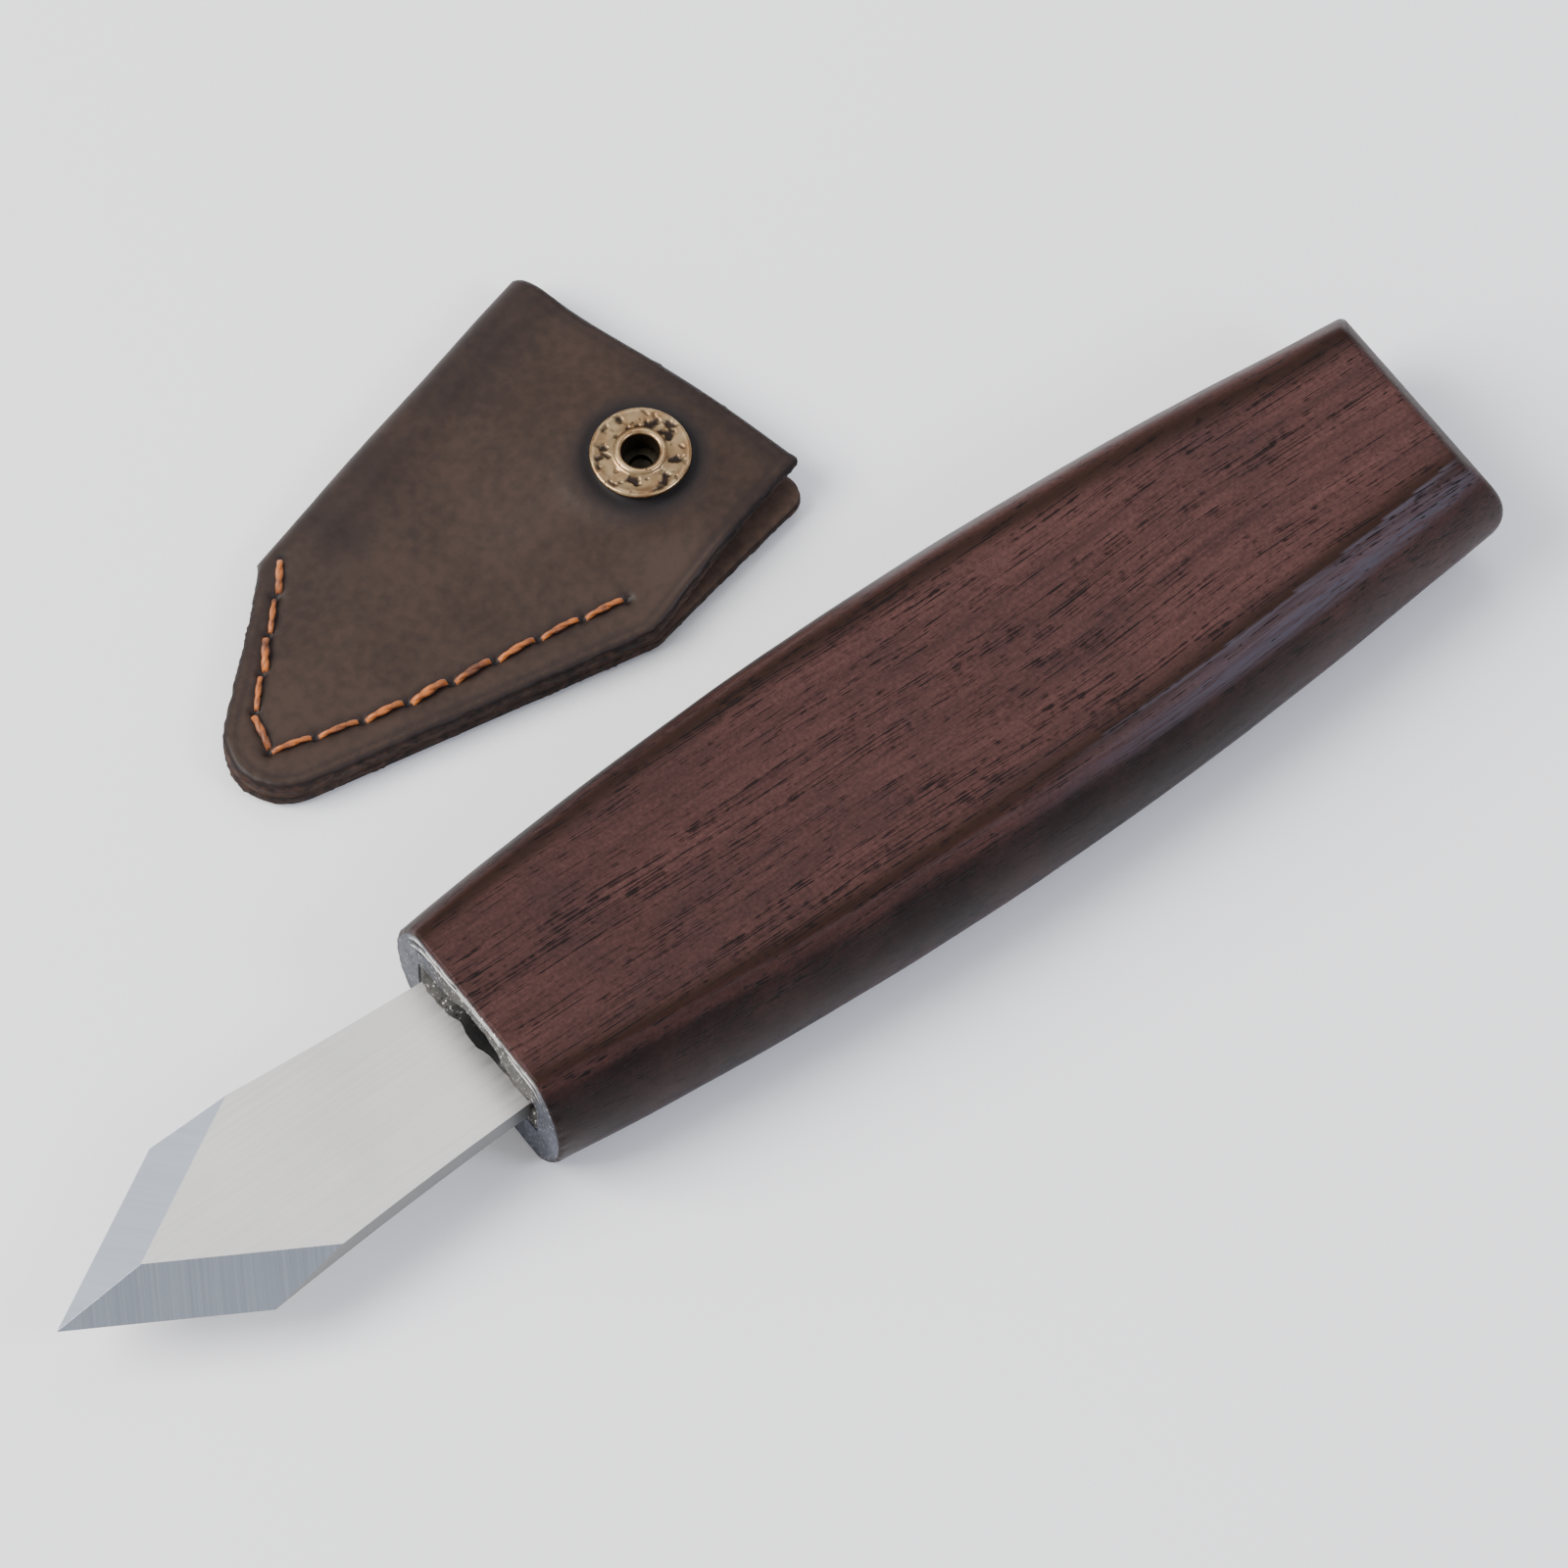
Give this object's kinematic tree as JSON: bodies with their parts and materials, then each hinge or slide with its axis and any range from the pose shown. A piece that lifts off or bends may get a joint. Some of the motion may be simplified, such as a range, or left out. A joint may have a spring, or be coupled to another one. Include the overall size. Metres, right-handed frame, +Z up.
{
  "type": "whittling knife with blade sheath",
  "caption": "Fixed-blade whittling knife with a flat barrel-shaped wooden handle and an arrowhead double-bevel blade, beside its stitched leather sheath with a snap.",
  "frame": {"origin": "middle of the handle's flat underside, on the surface that the knife lies on", "axes": "+X along the handle from the blade towards the butt, +Y across the handle towards the sheath, +Z up out of the handle's flat top"},
  "size_m": [0.1641, 0.0851, 0.017],
  "materials": {
    "dark_wood": "satin oiled dark walnut",
    "blade_steel": "fine lengthwise brushing",
    "bedding_resin": "dark epoxy, slightly glossy",
    "sheath_leather": "smooth dark brown with a soft sheen",
    "waxed_thread": "waxed orange-tan thread",
    "antique_brass": "antiqued, pitted",
    "spring_wire": "plain wire"
  },
  "bodies": {
    "knife": {"handle": "dark_wood", "blade": "blade_steel", "tang_bedding": "bedding_resin"},
    "sheath": {"sheath_back": "sheath_leather", "sheath_front": "sheath_leather", "sheath_fold": "sheath_leather", "stitch_thread": "waxed_thread", "snap_cap": "antique_brass", "snap_socket": "antique_brass", "snap_spring": "spring_wire"},
    "flap": {"sheath_flap": "sheath_leather", "snap_stud": "antique_brass", "snap_eyelet": "antique_brass"}
  },
  "joints": [
    {"name": "sheath_slide", "type": "slide", "parent": "knife", "child": "sheath", "axis": [-0.9636, -0.2672, 0], "range_m": [0, 0.049]},
    {"name": "flap_hinge", "type": "hinge", "parent": "sheath", "child": "flap", "pos_m": [-0.01103, 0.04775, 0.0075], "axis": [-0.2478, -0.9688, 0], "range_deg": [0, 30]}
  ]
}
